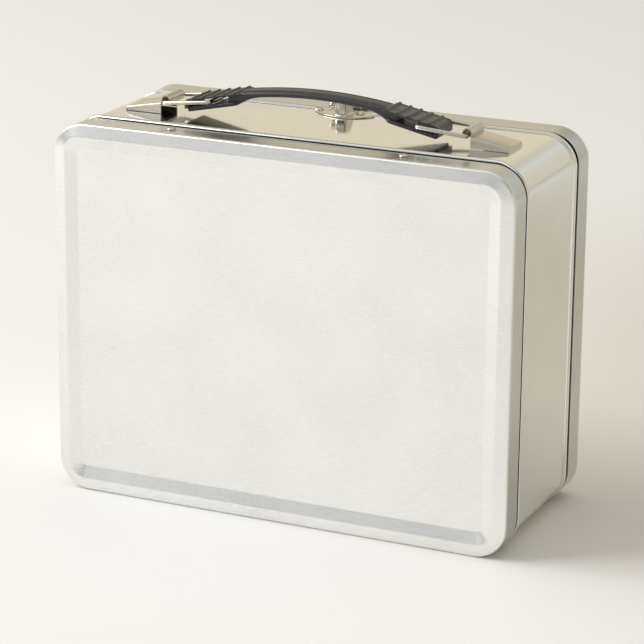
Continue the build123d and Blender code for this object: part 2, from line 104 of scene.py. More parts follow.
def drawn_metal(name, bright, dull, roughness, spread, grain_mm, streak, bump_mm, speckle_mm=0.0, zone=None):
    """Sheet metal with rolling grain along X: stretched noise varies colour and roughness and gives the bump;
    a slower cloud adds the uneven sheen of handled tin, and an optional fine speckle adds a crystalline bite.
    A zone (first y, last y, softness, tint, change of roughness) marks a stretch of the depth that is
    toned differently. The rolling grain of real sheet is finer than a tenth of a millimetre; grain and
    speckle are drawn as coarse as they need to be to show."""
    material, tree, output = new_material(name)
    place = add_node(tree, "ShaderNodeTexCoord")
    stretch = 1 / (grain_mm * MM)
    long_grain = add_node(tree, "ShaderNodeMapping", inputs={"Scale": (stretch / streak, stretch, stretch)},
                          links={"Vector": place.outputs["Object"]})
    grain = add_node(tree, "ShaderNodeTexNoise", inputs={"Scale": 1.0, "Detail": 3.0, "Roughness": 0.6},
                     links={"Vector": long_grain.outputs["Vector"]})
    cloud = add_node(tree, "ShaderNodeTexNoise", inputs={"Scale": 1 / (38 * MM), "Detail": 2.0},
                     links={"Vector": place.outputs["Object"]})
    soft = add_node(tree, "ShaderNodeMath", {"operation": "MULTIPLY"}, {1: 0.4}, {0: cloud.outputs["Fac"]})
    mixed = add_node(tree, "ShaderNodeMath", {"operation": "MULTIPLY_ADD"}, {1: 0.6},
                     {0: grain.outputs["Fac"], 2: soft.outputs[0]})
    colour = add_node(tree, "ShaderNodeValToRGB", links={"Fac": mixed.outputs[0]})
    colour.color_ramp.elements[0].position = 0.32
    colour.color_ramp.elements[0].color = linear(dull)
    colour.color_ramp.elements[1].position = 0.66
    colour.color_ramp.elements[1].color = linear(bright)
    rough = add_node(tree, "ShaderNodeMapRange", inputs={
        "From Min": 0.3, "From Max": 0.7, "To Min": roughness - spread, "To Max": roughness + spread},
        links={"Value": mixed.outputs[0]})
    base_colour, base_rough = colour.outputs["Color"], rough.outputs["Result"]
    # the zone's darker tint is painted shade: greyer flanges on the satin tinplate, a dark front seam on the
    # bright tinplate
    if zone:
        first, last, soft_mm, tint, change = zone
        depth = add_node(tree, "ShaderNodeSeparateXYZ", links={"Vector": place.outputs["Object"]})
        edges = [add_node(tree, "ShaderNodeMapRange", {"interpolation_type": "SMOOTHSTEP"},
                          {"From Min": (y - soft_mm) * MM, "From Max": (y + soft_mm) * MM},
                          {"Value": depth.outputs["Y"]}) for y in (first, last)]
        mask = add_node(tree, "ShaderNodeMath", {"operation": "SUBTRACT"},
                        links={0: edges[0].outputs["Result"], 1: edges[1].outputs["Result"]})
        toned = add_node(tree, "ShaderNodeMix", {"data_type": "RGBA", "blend_type": "MULTIPLY"},
                         links={"Factor": mask.outputs[0]})
        tree.links.new(base_colour, toned.inputs[6])
        toned.inputs[7].default_value = linear(tint)
        shifted = add_node(tree, "ShaderNodeMath", {"operation": "MULTIPLY_ADD"}, {1: change},
                           {0: mask.outputs[0], 2: base_rough})
        base_colour, base_rough = toned.outputs[2], shifted.outputs[0]
    height = grain.outputs["Fac"]
    if speckle_mm:
        speckle = add_node(tree, "ShaderNodeTexNoise", inputs={"Scale": 1 / (speckle_mm * MM), "Detail": 2.0},
                           links={"Vector": place.outputs["Object"]})
        both = add_node(tree, "ShaderNodeMath", {"operation": "ADD"},
                        links={0: grain.outputs["Fac"], 1: speckle.outputs["Fac"]})
        height = both.outputs[0]
    bump = add_node(tree, "ShaderNodeBump", inputs={"Strength": 1.0, "Distance": bump_mm * MM},
                    links={"Height": height})
    shader = add_node(tree, "ShaderNodeBsdfPrincipled", inputs={"Metallic": 1.0},
                      links={"Base Color": base_colour, "Roughness": base_rough,
                             "Normal": bump.outputs["Normal"]})
    tree.links.new(shader.outputs[0], output.inputs["Surface"])
    return material


PRESSED_DEPTH = 3.0      # the tilted rim, slope and panel lie within this depth of a cover's face
SEAM_SHADE_END = 1.55        # the front seam's painted shade ends this far behind the cover's rim

# satin tinplate: matt white metal with a fine rolled grain; between the two pressed faces the flanges are
# smoother, and tinted greyer as painted shade standing in for the darker surroundings they mirror
satin_tinplate = drawn_metal("satin_tinplate", "#F6F6F4", "#E8E8E5", 0.29, 0.04, 0.5, 10, 0.0014, 0.7,
                             (FRONT + PRESSED_DEPTH, REAR - PRESSED_DEPTH, 1.0, "#DCDEDD", -0.07))
# bright tinplate: nearly a mirror, with faint rolling lines; down in the front seam it is rougher and painted
# dark, a painted shade for the shadowed gap
bright_tinplate = drawn_metal("bright_tinplate", "#F1F2EF", "#E6E6E1", 0.09, 0.03, 0.7, 14, 0.0012,
                              zone=(-60.0, FRONT_SEAM + SEAM_SHADE_END, 0.05, "#32302C", 0.25))
# nickel-plated steel: a warm grey mirror, slightly uneven from the plating
nickel_steel = drawn_metal("nickel_plated_steel", "#DAD5C9", "#C9C3B5", 0.20, 0.05, 0.5, 2, 0.003)


def moulded_plastic():
    """Black moulded PVC: dark grey in the light, a soft gloss broken by a fine moulded texture, which is
    drawn coarser than the real one so that it shows."""
    material, tree, output = new_material("black_moulded_plastic")
    place = add_node(tree, "ShaderNodeTexCoord")
    texture = add_node(tree, "ShaderNodeTexNoise", inputs={"Scale": 1 / (0.8 * MM), "Detail": 2.0},
                       links={"Vector": place.outputs["Object"]})
    colour = add_node(tree, "ShaderNodeValToRGB", links={"Fac": texture.outputs["Fac"]})
    colour.color_ramp.elements[0].color = linear("#2A2A2C")
    colour.color_ramp.elements[1].color = linear("#38383A")
    bump = add_node(tree, "ShaderNodeBump", inputs={"Strength": 0.6, "Distance": 0.03 * MM},
                    links={"Height": texture.outputs["Fac"]})
    shader = add_node(tree, "ShaderNodeBsdfPrincipled", inputs={"Roughness": 0.27, "IOR": 1.5},
                      links={"Base Color": colour.outputs["Color"], "Normal": bump.outputs["Normal"]})
    tree.links.new(shader.outputs[0], output.inputs["Surface"])
    return material


black_plastic = moulded_plastic()
FINISH = {"satin_tinplate": satin_tinplate, "bright_tinplate": bright_tinplate,
          "nickel_steel": nickel_steel, "black_plastic": black_plastic}
SLOT_OF = {part["node"]: part["material_slot"] for part in frame["record"]["subparts"]}
for node_name, slot_name in SLOT_OF.items():
    cad_node = frame["nodes"][node_name]
    cad_node.data.materials.clear()
    cad_node.data.materials.append(FINISH[slot_name])


# ---- surfaces ----
def grid(points, wrap_rows=False, wrap_columns=False, keep=None, caps=()):
    """A grid of points, rows by columns, as vertices and faces: neighbouring points make quads, a wrapped
    direction closes on itself, keep drops quads by their middle, and caps close the first or last row."""
    rows, columns = points.shape[:2]
    index = np.arange(rows * columns).reshape(rows, columns)
    edge = {"first": index[0].tolist(), "last": index[-1].tolist()[::-1]}
    if wrap_rows:
        index = np.vstack([index, index[:1]])
    if wrap_columns:
        index = np.hstack([index, index[:, :1]])
    quads = np.stack([index[:-1, :-1], index[1:, :-1], index[1:, 1:], index[:-1, 1:]], -1).reshape(-1, 4)
    flat = points.reshape(-1, 3)
    if keep is not None:
        quads = quads[keep(flat[quads].mean(axis=1))]
    return flat, quads, [edge[name] for name in caps]


def turned_out(shell, inside):
    """Faces wound so that they look away from the inside point: the sum over quads of normal times
    distance from that point, which grows with the enclosed volume, has to be positive."""
    points, quads, caps = shell
    a, b, c, d = (points[quads[:, i]] for i in range(4))
    volume = np.sum(np.cross(c - a, d - b) * ((a + c) / 2 - inside))
    if volume < 0:
        quads = quads[:, ::-1]
        caps = [cap[::-1] for cap in caps]
    return points, quads, caps


def walled(shell, wall):
    """Gives an open sheet its thickness: each vertex normal is the sum of the quads' cross products around
    it, the inner side lies one wall below it, and every edge used by a single face gets a closing strip."""
    points, quads, caps = shell
    side_cross = np.cross(points[quads[:, 2]] - points[quads[:, 0]],
                          points[quads[:, 3]] - points[quads[:, 1]])
    normal = np.zeros_like(points)
    np.add.at(normal, quads.ravel(), np.repeat(side_cross, 4, axis=0))
    length = np.linalg.norm(normal, axis=1, keepdims=True)
    normal /= np.where(length > 0, length, 1)
    count = len(points)
    loops = [quads] + [np.array(cap)[None, :] for cap in caps]
    edges = np.vstack([np.stack([loop, np.roll(loop, -1, axis=1)], -1).reshape(-1, 2) for loop in loops])
    _, place, uses = np.unique(np.sort(edges, axis=1), axis=0, return_index=True, return_counts=True)
    rim = edges[place[uses == 1]]
    strips = np.stack([rim[:, 1], rim[:, 0], rim[:, 0] + count, rim[:, 1] + count], -1)
    inner_caps = [[i + count for i in cap[::-1]] for cap in caps]
    return (np.vstack([points, points - wall * normal]),
            np.vstack([quads, quads[:, ::-1] + count, strips]), caps + inner_caps)


def make_piece(name, shells, body, stands_for, wall=0.0, sharp=38, inside=None):
    """One object from one or more surfaces in millimetres, with an optional wall laid on its inner side."""
    vertices, faces, start = [], [], 0
    for shell in shells:
        middle = shell[0].mean(axis=0) if inside is None else np.array(inside)
        shell = turned_out(shell, middle)
        points, quads, caps = walled(shell, wall) if wall else shell
        vertices.append(points)
        faces += (quads + start).tolist()
        faces += [[i + start for i in cap] for cap in caps]
        start += len(points)
    mesh = bpy.data.meshes.new(name)
    mesh.from_pydata((np.vstack(vertices) * MM).tolist(), [], faces)
    mesh.polygons.foreach_set("use_smooth", np.ones(len(mesh.polygons), bool))
    mesh.set_sharp_from_angle(angle=math.radians(sharp))
    slot = SLOT_OF[stands_for[0]]
    mesh.materials.append(FINISH[slot])
    piece = bpy.data.objects.new(name, mesh)
    scene.collection.objects.link(piece)
    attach(piece, body)
    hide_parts(*stands_for)
    return piece


def rounded_outline(inset, radius, corner_steps=12, run_steps=13):
    """Rounded rectangle around the box, one row for each inset: a quarter circle of the row's radius at each
    corner and evenly spaced points on each straight run between two corners. Returns x and z."""
    inset = np.asarray(inset, float)[:, None]
    radius = np.asarray(radius, float)[:, None]
    reach_x = WIDTH / 2 - inset - radius
    reach_z = HEIGHT / 2 - inset - radius
    signs = [(1, 1), (-1, 1), (-1, -1), (1, -1)]
    run = np.linspace(0, 1, run_steps)[None, 1:-1]
    x_parts, z_parts = [], []
    for corner, (side_x, side_z) in enumerate(signs):
        angle = (corner * np.pi / 2 + np.linspace(0, np.pi / 2, corner_steps))[None, :]
        arc_x = side_x * reach_x + radius * np.cos(angle)
        arc_z = side_z * reach_z + radius * np.sin(angle)
        next_x, next_z = signs[(corner + 1) % 4]
        next_angle = (corner + 1) * np.pi / 2
        end_x = next_x * reach_x + radius * np.cos(next_angle)
        end_z = next_z * reach_z + radius * np.sin(next_angle)
        x_parts += [arc_x, arc_x[:, -1:] * (1 - run) + end_x * run]
        z_parts += [arc_z, arc_z[:, -1:] * (1 - run) + end_z * run]
    return np.hstack(x_parts), np.hstack(z_parts) + HEIGHT / 2


# ---- covers ----
EDGE_R = 1.3             # tight rounding where the flange turns into the face
RIM_TILT = math.radians(15)
RIM_RUN = 4.6            # width of the tilted rim
CREST_R = 1.5            # rounding of the crest and of the hollow at the panel's edge
SLOPE_TILT = math.radians(20)
SLOPE_RUN = 5.0          # width of the slope that leads down to the panel
PANEL_CORNER = 2.6       # corner radius of the recessed panel
RIM_DRAFT = 0.42         # the flange leans in by this much towards its open rim
CUTBACK = 1.2            # the rear cover's rim stands back by this much along the bottom, for the hinge
CUTBACK_TOP, CUTBACK_SOFT = 4.4, 1.0


def cover_profile(flange):
    """Inset and depth behind the face, row by row from the open rim: a straight flange, a tight arc through
    75 degrees, a straight tilted rim, a crest arc, a straight slope and a hollow arc into the panel."""
    rim_depth = CREST_R * (1 - math.cos(RIM_TILT)) + RIM_RUN * math.tan(RIM_TILT)
    edge_turn = np.linspace(0, np.pi / 2 - RIM_TILT, 9)
    edge_depth = rim_depth + EDGE_R * math.cos(RIM_TILT)
    edge_inset = EDGE_R - EDGE_R * np.cos(edge_turn)
    edge = edge_depth - EDGE_R * np.sin(edge_turn)
    crest_inset = edge_inset[-1] + RIM_RUN + CREST_R * math.sin(RIM_TILT)
    crest_turn = np.linspace(-RIM_TILT, SLOPE_TILT, 8)
    hollow_turn = np.linspace(SLOPE_TILT, 0, 6)
    slope_start = crest_inset + CREST_R * math.sin(SLOPE_TILT)
    slope_depth = CREST_R * (1 - math.cos(SLOPE_TILT))
    hollow_start = slope_start + SLOPE_RUN
    hollow_depth = slope_depth + SLOPE_RUN * math.tan(SLOPE_TILT)
    flange_rows = np.array([flange, flange - 0.3, flange / 2, edge_depth + 1.0, edge_depth + 0.2])
    flange_share = np.array([1.0, 1.0, 0.5, 0.05, 0.0])
    rim_rows = np.array([0.2, RIM_RUN / 2, RIM_RUN - 0.2])
    slope_rows = np.array([0.2, SLOPE_RUN / 2, SLOPE_RUN - 0.2])
    inset = np.concatenate([
        RIM_DRAFT * flange_share, edge_inset, edge_inset[-1] + rim_rows,
        crest_inset + CREST_R * np.sin(crest_turn), slope_start + slope_rows,
        hollow_start + CREST_R * (math.sin(SLOPE_TILT) - np.sin(hollow_turn))])
    depth = np.concatenate([
        flange_rows, edge, rim_depth - rim_rows * math.tan(RIM_TILT),
        CREST_R * (1 - np.cos(crest_turn)),
        slope_depth + slope_rows * math.tan(SLOPE_TILT),
        hollow_depth + CREST_R * (np.cos(hollow_turn) - math.cos(SLOPE_TILT))])
    return inset, depth, crest_inset


def cover_skin(name, body, node, face_y, rim_y, cutback=0.0):
    """A pressed cover: its profile carried around the rounded outline, then drawn in to the panel's middle.
    cutback moves the bottom stretch of the rim back, with a soft step at its ends."""
    inward = 1 if rim_y > face_y else -1
    inset, depth, crest_inset = cover_profile(abs(rim_y - face_y))
    radius = np.interp(inset, [0, crest_inset, inset[-1]], [CORNER, CORNER - crest_inset - 1.5, PANEL_CORNER])
    x, z = rounded_outline(inset, radius)
    y = np.repeat((face_y + inward * depth)[:, None], x.shape[1], axis=1)
    low = np.clip((CUTBACK_TOP - z[0]) / CUTBACK_SOFT, 0, 1)
    y[0] += -inward * cutback * low
    y[1] += -inward * cutback * low
    draw_in = np.array([0.985, 0.94, 0.85, 0.7, 0.5, 0.3, 0.12])[:, None]
    mid = HEIGHT / 2
    x = np.vstack([x, x[-1:] * draw_in])
    z = np.vstack([z, mid + (z[-1:] - mid) * draw_in])
    y = np.vstack([y, np.repeat(y[-1:], len(draw_in), axis=0)])
    shell = grid(np.stack([x, y, z], -1), wrap_columns=True, caps=("last",))
    make_piece(name, [shell], body, [node], wall=SHEET, sharp=60, inside=(0, rim_y, mid))


cover_skin("front_cover_pressing", "case", "front_cover", FRONT, FRONT_SEAM)
cover_skin("rear_cover_pressing", "door", "rear_cover", REAR, REAR_RIM, cutback=CUTBACK)


# ---- band ----
HINGE_HALF = 32.0        # half length of the window for the hinge
NECK_LAP, NECK_DEEP = 1.0, 2.2   # insets of the front neck inside the cover and at the foot of its bead
REAR_NECK = 2.6          # inset of the neck that the rear cover closes over
BEAD_RISE, REAR_BEAD_RISE = 0.87, 0.65
TOP_LIFT = 0.75          # the front bead stands this much higher along the top
TOP_SHIFT = 1.4          # the rear bead lies this much nearer to its cover along the top
TOP_FADE_END, TOP_FADE = 104.5, 8.5   # where along X both of these die out, and over what length


def bead(middle, half_width, base, rise, power, steps=15):
    """A rolled bead as a superellipse: along it t is the sine and the height the cosine, both raised to
    two over the power, so a higher power gives steeper sides and a flatter back."""
    turn = np.linspace(-np.pi / 2, np.pi / 2, steps)
    t = np.sign(np.sin(turn)) * np.abs(np.sin(turn)) ** (2 / power)
    return base - rise * np.clip(np.cos(turn), 0, 1) ** (2 / power), middle + half_width * t


def band_skin():
    """The strip between the covers: necks inside both covers, a rolled bead at each seam and a flat between,
    carried around the outline. Along the top the front bead stands a little higher and the rear bead lies
    closer to its cover. The neck and bead are open where the hinge lies."""
    front_bead = bead(FRONT_SEAM + 3.0, 1.65, BAND_INSET, BEAD_RISE, 2.0)
    rear_bead = bead(BAND_END - 2.75, 1.85, BAND_INSET, REAR_BEAD_RISE, 3.0)
    flat_start, flat_end = front_bead[1][-1] + 0.15, rear_bead[1][0] - 0.15
    inset = np.concatenate([[NECK_LAP, NECK_LAP, NECK_DEEP, NECK_DEEP], front_bead[0], [BAND_INSET] * 3,
                            rear_bead[0], [REAR_NECK] * 2])
    y = np.concatenate([[FRONT_SEAM - 12, FRONT_SEAM - 0.3, FRONT_SEAM + 0.3, FRONT_SEAM + 1.25],
                        front_bead[1], [flat_start, (flat_start + flat_end) / 2, flat_end], rear_bead[1],
                        [BAND_END - 0.4, REAR_RIM + 5]])
    x, z = rounded_outline(inset, CORNER - inset)
    y = np.repeat(y[:, None], x.shape[1], axis=1)
    top = np.clip((TOP_FADE_END - np.abs(x)) / TOP_FADE, 0, 1) * (z > HEIGHT / 2)
    top = top * top * (3 - 2 * top)
    front_share = ((BAND_INSET - inset)[:, None] > 0.02) & (y < 0)
    z = z + top * front_share * np.clip((BAND_INSET - inset) / BEAD_RISE, 0, 1)[:, None] * TOP_LIFT
    y = y + top * TOP_SHIFT * (y > flat_end - 0.01) * (y < BAND_END)
    points = np.stack([x, y, z], -1)

    def clear_of_hinge(middle):
        return ~((np.abs(middle[:, 0]) < HINGE_HALF) & (middle[:, 1] > BAND_END - 1.5) & (middle[:, 2] < 5))

    shell = grid(points, wrap_columns=True, keep=clear_of_hinge)
    make_piece("band_strip", [shell], "case", ["band"], wall=SHEET, sharp=50, inside=(0, 0, HEIGHT / 2))


band_skin()


# ---- rivets and pins ----
def dome(x, y, base_z, radius, height, steps=9, around=32):
    """A rivet head: a short straight side, then height times (1 - r^2)^0.7 over the radius."""
    fraction = np.concatenate([[1.0, 1.0], np.cos(np.linspace(0.12, np.pi / 2 - 0.05, steps))])[:, None]
    rise = np.concatenate([[0.0, 0.12], 0.12 + (1 - 0.12) * (1 - fraction[2:, 0] ** 2) ** 0.7])[:, None]
    angle = np.linspace(0, 2 * np.pi, around, endpoint=False)[None, :]
    points = np.stack([x + radius * fraction * np.cos(angle), y + radius * fraction * np.sin(angle),
                       base_z + height * rise + 0 * angle], -1)
    return grid(points, wrap_columns=True, caps=("first", "last"))


def node_middles(node, reach):
    """Left and right rivet places of a mirrored pair, reach in from the node's ends."""
    low, high = (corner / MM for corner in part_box(node))
    middle_y = (low.y + high.y) / 2
    return [(low.x + reach, middle_y), (high.x - reach, middle_y)]


RIVET_SETS = [("front_cover_rivets", "case", 2.1, HEIGHT, 1.1),
              ("latch_rivets", "case", 2.2, plate_low.z + 0.7, 1.2),
              ("strike_rivets", "door", 1.5, HEIGHT + 0.8, 0.8)]
for rivet_node, rivet_body, rivet_r, rivet_base, rivet_h in RIVET_SETS:
    heads = [dome(x, y, rivet_base, rivet_r, rivet_h) for x, y in node_middles(rivet_node, rivet_r)]
    make_piece(rivet_node + "_heads", heads, rivet_body, [rivet_node], sharp=60)


# ---- handle brackets ----
BRACKET_IN, BRACKET_OUT = 75.8, bracket_high.x
BRACKET_HALF = (bracket_high.y - bracket_low.y) / 2
BRACKET_HIGH, BRACKET_LOW = 5.2, 1.9   # height of the wedge at its inner and outer ends
HOOD_WALL, CURL_WALL = 0.6, 0.55
HOOD_MIDDLE = 84.0
FOOT_GAP = 0.22          # dark line between a bracket's foot and the band
BARREL_R = 2.4
BARREL_X = bracket_low.x + BARREL_R
BARREL_Z = bracket_high.z - BARREL_R
BARREL_HALF = 7.2        # half length of the barrel along Y


def bracket_hood():
    """The bracket's hollow wedge: at each x a cross section of wall, rounded edge, top, rounded edge and
    wall, whose height falls in a straight line and then turns down through a quarter circle."""
    edge = 0.55
    slope = (BRACKET_HIGH - BRACKET_LOW) / (BRACKET_OUT - BRACKET_IN)
    along = np.linspace(BRACKET_IN, BRACKET_OUT - edge, 9)
    turn = np.linspace(0, np.pi / 2, 6)[1:]
    x = np.concatenate([along, BRACKET_OUT - edge + edge * np.sin(turn), [BRACKET_OUT]])
    end_height = BRACKET_HIGH - slope * (along[-1] - BRACKET_IN)
    height = np.concatenate([BRACKET_HIGH - slope * (along - BRACKET_IN),
                             end_height - edge + edge * np.cos(turn), [0.0]])[:, None]
    round_r = np.minimum(edge, height)
    angle = np.linspace(0, np.pi / 2, 6)[None, :]
    near = -BRACKET_HALF + round_r * (1 - np.cos(angle))
    far = BRACKET_HALF - round_r * (1 - np.sin(angle))
    rise_near = height - round_r + round_r * np.sin(angle)
    rise_far = height - round_r + round_r * np.cos(angle)
    level = np.ones_like(height)
    foot = np.minimum(FOOT_GAP, 0.8 * height)
    y = np.hstack([-BRACKET_HALF * level, near, 0 * level, far, BRACKET_HALF * level])
    z = np.hstack([foot, np.maximum(rise_near, foot), height, np.maximum(rise_far, foot), foot])
    points = np.stack([np.repeat(x[:, None], y.shape[1], axis=1), HANDLE_Y + y, BAND_TOP + z], -1)
    return grid(points)


def bracket_curl():
    """The barrel: the strip leaves the wedge's top, bends up and runs round the wire, three quarters of a
    turn and more, as one line of x and z carried along Y."""
    turn = np.radians(np.linspace(-38, 262, 40))
    ring_x, ring_z = BARREL_X + BARREL_R * np.cos(turn), BARREL_Z + BARREL_R * np.sin(turn)
    top_z = BAND_TOP + BRACKET_HIGH + 0.05
    lead = np.linspace(0, 1, 7)[:-1]
    start_x, start_z = BRACKET_IN + 3.0, top_z - 0.6
    bend_x = BRACKET_IN + 0.2
    lead_x = (1 - lead) ** 2 * start_x + 2 * lead * (1 - lead) * bend_x + lead ** 2 * ring_x[0]
    lead_z = (1 - lead) ** 2 * start_z + 2 * lead * (1 - lead) * (top_z - 0.3) + lead ** 2 * ring_z[0]
    x = np.concatenate([lead_x, ring_x])[:, None]
    z = np.concatenate([lead_z, ring_z])[:, None]
    y = HANDLE_Y + np.linspace(-BARREL_HALF, BARREL_HALF, 5)[None, :]
    return grid(np.stack([x + 0 * y, y + 0 * x, z + 0 * y], -1))


def mirrored(shell):
    """The left-hand twin of a shape about the box's middle plane."""
    points, quads, caps = shell
    return points * np.array([-1, 1, 1]), quads, caps


for side, turn_over in (("right", lambda shell: shell), ("left", mirrored)):
    sign = 1 if side == "right" else -1
    hood = turn_over(bracket_hood())
    curl = turn_over(bracket_curl())
    make_piece(f"bracket_{side}_hood", [hood], "case", [f"bracket_{side}"], wall=HOOD_WALL, sharp=50,
               inside=(sign * HOOD_MIDDLE, HANDLE_Y, BAND_TOP))
    make_piece(f"bracket_{side}_curl", [curl], "case", [f"bracket_{side}"], wall=CURL_WALL, sharp=50,
               inside=(sign * BARREL_X, HANDLE_Y, BARREL_Z))


# ---- wire links ----
WIRE_R = 0.95
LINK_HALF = (link_high.y - link_low.y) / 2 - WIRE_R
WIRE_BEND = 1.7          # radius of the wire's bends, on its middle line


def tube(path, normal, radius, around=16):
    """A closed tube: circles of the radius about each point of a flat closed path, in the plane of the
    path's normal and its own sideways direction."""
    tangent = np.roll(path, -1, axis=0) - np.roll(path, 1, axis=0)
    tangent /= np.linalg.norm(tangent, axis=1, keepdims=True)
    sideways = np.cross(normal, tangent)
    angle = np.linspace(0, 2 * np.pi, around, endpoint=False)[None, :, None]
    points = path[:, None, :] + radius * (np.cos(angle) * sideways[:, None, :] + np.sin(angle) * normal)
    return grid(points, wrap_rows=True, wrap_columns=True)


def link_wire(node, body):
    """A rectangle of wire with bent corners, tilted between its outer leg in the barrel and its inner leg
    in the handle: a quarter circle at each corner joined by straight runs."""
    low, high = (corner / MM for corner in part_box(node))
    right = high.x > 0
    outer_x, inner_x = (high.x - WIRE_R, low.x + WIRE_R) if right else (low.x + WIRE_R, high.x - WIRE_R)
    outer_z, inner_z = low.z + WIRE_R, high.z - WIRE_R
    outer, inner = np.array([outer_x, HANDLE_Y, outer_z]), np.array([inner_x, HANDLE_Y, inner_z])
    across = (inner - outer) / np.linalg.norm(inner - outer)
    length = np.linalg.norm(inner - outer)
    sideways = np.array([0.0, 1.0, 0.0])
    parts = []
    corners = [(length, 1), (0, 1), (0, -1), (length, -1)]
    for number, (far, side) in enumerate(corners):
        angle = number * np.pi / 2 + np.linspace(0, np.pi / 2, 9)
        centre_a = far + (-WIRE_BEND if far else WIRE_BEND)
        centre_s = side * (LINK_HALF - WIRE_BEND)
        parts.append(np.stack([centre_a + WIRE_BEND * np.cos(angle),
                               centre_s + WIRE_BEND * np.sin(angle)], -1))
    flat = np.vstack(parts)
    path = outer + flat[:, :1] * across + flat[:, 1:] * sideways
    normal = np.cross(across, sideways)
    make_piece(node + "_wire", [tube(path, normal, WIRE_R)], body, [node], sharp=80)


link_wire("link_right", "link_right")
link_wire("link_left", "link_left")


# ---- handle ----
GRIP_TOP = grip_high.z
# the arch: thickness at its middle, fall to its ends, half width, and half length
GRIP_T, GRIP_SAG, GRIP_HALF, ARCH_END = 2.6, 2.8, 6.2, 36.0
# the ends: fall per length, where plate and lip end along X, and their half widths
END_TILT, PLATE_END, LIP_END, END_HALF, LIP_HALF = 0.20, 62.2, 61.2, 8.4, 7.6
# the slot between plate and lip: where the link's leg lies, its height, and its two ends along X
LINK_IN, SLOT_MID_Z, SLOT_H, SLOT_IN, SLOT_WALL_IN = 50.5, 181.45, 3.0, 41.0, 60.3
# thickness of plate and lip, and where the web under the arch meets the lip
SKIN_T, LIP_T, WEB_TIP = 1.05, 1.75, 36.6
RIB_COUNT, RIB_START, RIB_PITCH, RIB_H, RIB_W = 5, 37.2, 5.1, 0.6, 1.1
WEB_BEND = 21.7          # the underside starts to curve down to the web here
UNDER_SAG = 1.2          # and has fallen this much by there


def skin_top(x):
    """Height of the ribbed plate's top: a straight line falling outwards."""
    return SLOT_MID_Z + SLOT_H / 2 + SKIN_T - END_TILT * (x - LINK_IN)


def lip_bottom(x):
    """Height of the lower lip's underside, in line with the plate's top."""
    return SLOT_MID_Z - SLOT_H / 2 - LIP_T - END_TILT * (x - LINK_IN)


def bar_shell(x, half, low, high, round_r, relief=None, top_steps=41):
    """A moulded bar along X: at each x a rounded rectangle of the given half width, bottom and top, with
    the relief, a height over x and the place across the top from -1 to 1, added to the top."""
    columns = [np.broadcast_to(value, x.shape).astype(float)[:, None] for value in (x, half, low, high)]
    x, half, low, high = columns
    round_r = np.minimum(round_r, (high - low) / 2.05)
    across = np.linspace(-1, 1, top_steps)[None, :]
    top_z = high + (relief(x, across) if relief is not None else 0 * across)
    edge_z = top_z[:, -1:]
    turn = np.linspace(0, np.pi / 2, 6)[None, :]
    reach = half - round_r
    y = np.hstack([across * reach, reach + round_r * np.sin(turn[:, 1:]), reach + round_r * np.cos(turn),
                   -reach - round_r * np.sin(turn), -reach - round_r * np.cos(turn[:, :-1])])
    z = np.hstack([top_z, edge_z - round_r * (1 - np.cos(turn[:, 1:])), low + round_r * (1 - np.sin(turn)),
                   low + round_r * (1 - np.cos(turn)), edge_z - round_r * (1 - np.sin(turn[:, :-1]))])
    points = np.stack([np.repeat(x, y.shape[1], axis=1) + HANDLE_X, y + HANDLE_Y, z], -1)
    return grid(points, wrap_columns=True, caps=("first", "last"))


def arch_relief(x, across):
    """Top of the arch: low rails along both edges, a hollow between them and a fine line along the middle;
    it fades out before the ribs."""
    fade = np.clip((ARCH_END - np.abs(x)) / 2.0, 0, 1)
    rail = np.exp(-((np.abs(across) - 0.80) / 0.09) ** 2)
    groove = np.exp(-((np.abs(across) - 0.52) / 0.07) ** 2)
    middle = np.exp(-(across / 0.05) ** 2)
    crown = -0.4 * across ** 2
    return crown + fade * (0.25 * rail - 0.4 * groove - 0.2 * middle)


def arch_shell():
    """The grip's arch with its two webs: the top falls with the square of x, the underside the same and
    then with the cube of the way to the web's tip, and from there it follows the lip."""
    half_x = np.unique(np.concatenate([np.linspace(0, WEB_BEND, 30), np.linspace(WEB_BEND, WEB_TIP, 24),
                                       np.linspace(WEB_TIP, SLOT_IN, 6)]))
    x = np.concatenate([-half_x[:0:-1], half_x])
    away = np.abs(x)
    high = np.where(away < ARCH_END, GRIP_TOP - GRIP_SAG * (away / ARCH_END) ** 2, skin_top(away) - 0.1)
    beyond = np.clip((away - WEB_BEND) / (WEB_TIP - WEB_BEND), 0, 1)
    under_mid = GRIP_TOP - GRIP_T
    drop = under_mid - UNDER_SAG - lip_bottom(WEB_TIP)
    low = np.where(away < WEB_BEND, under_mid - UNDER_SAG * (away / WEB_BEND) ** 2,
                   under_mid - UNDER_SAG - 0.33 * drop * beyond - 0.67 * drop * beyond ** 3)
    low = np.where(away > WEB_TIP, lip_bottom(away), low)
    return bar_shell(x, GRIP_HALF, low, high, 1.0, arch_relief)


def rib_relief(x, across):
    """Ribs across the plate: each rises to its height over its width with sloping flanks; between them
    the field is sunk a little, inside a narrow border."""
    centres = RIB_START + RIB_PITCH * np.arange(RIB_COUNT)
    away = np.abs(np.abs(x)[..., None] - centres).min(axis=-1)
    rib = np.clip((RIB_W / 2 + 0.12 - away) / 0.3, 0, 1)
    rib = rib * rib * (3 - 2 * rib)
    field = np.clip((away - RIB_W / 2 - 0.3) / 0.35, 0, 1) * np.clip((0.93 - np.abs(across)) / 0.05, 0, 1)
    return RIB_H * rib - 0.22 * field


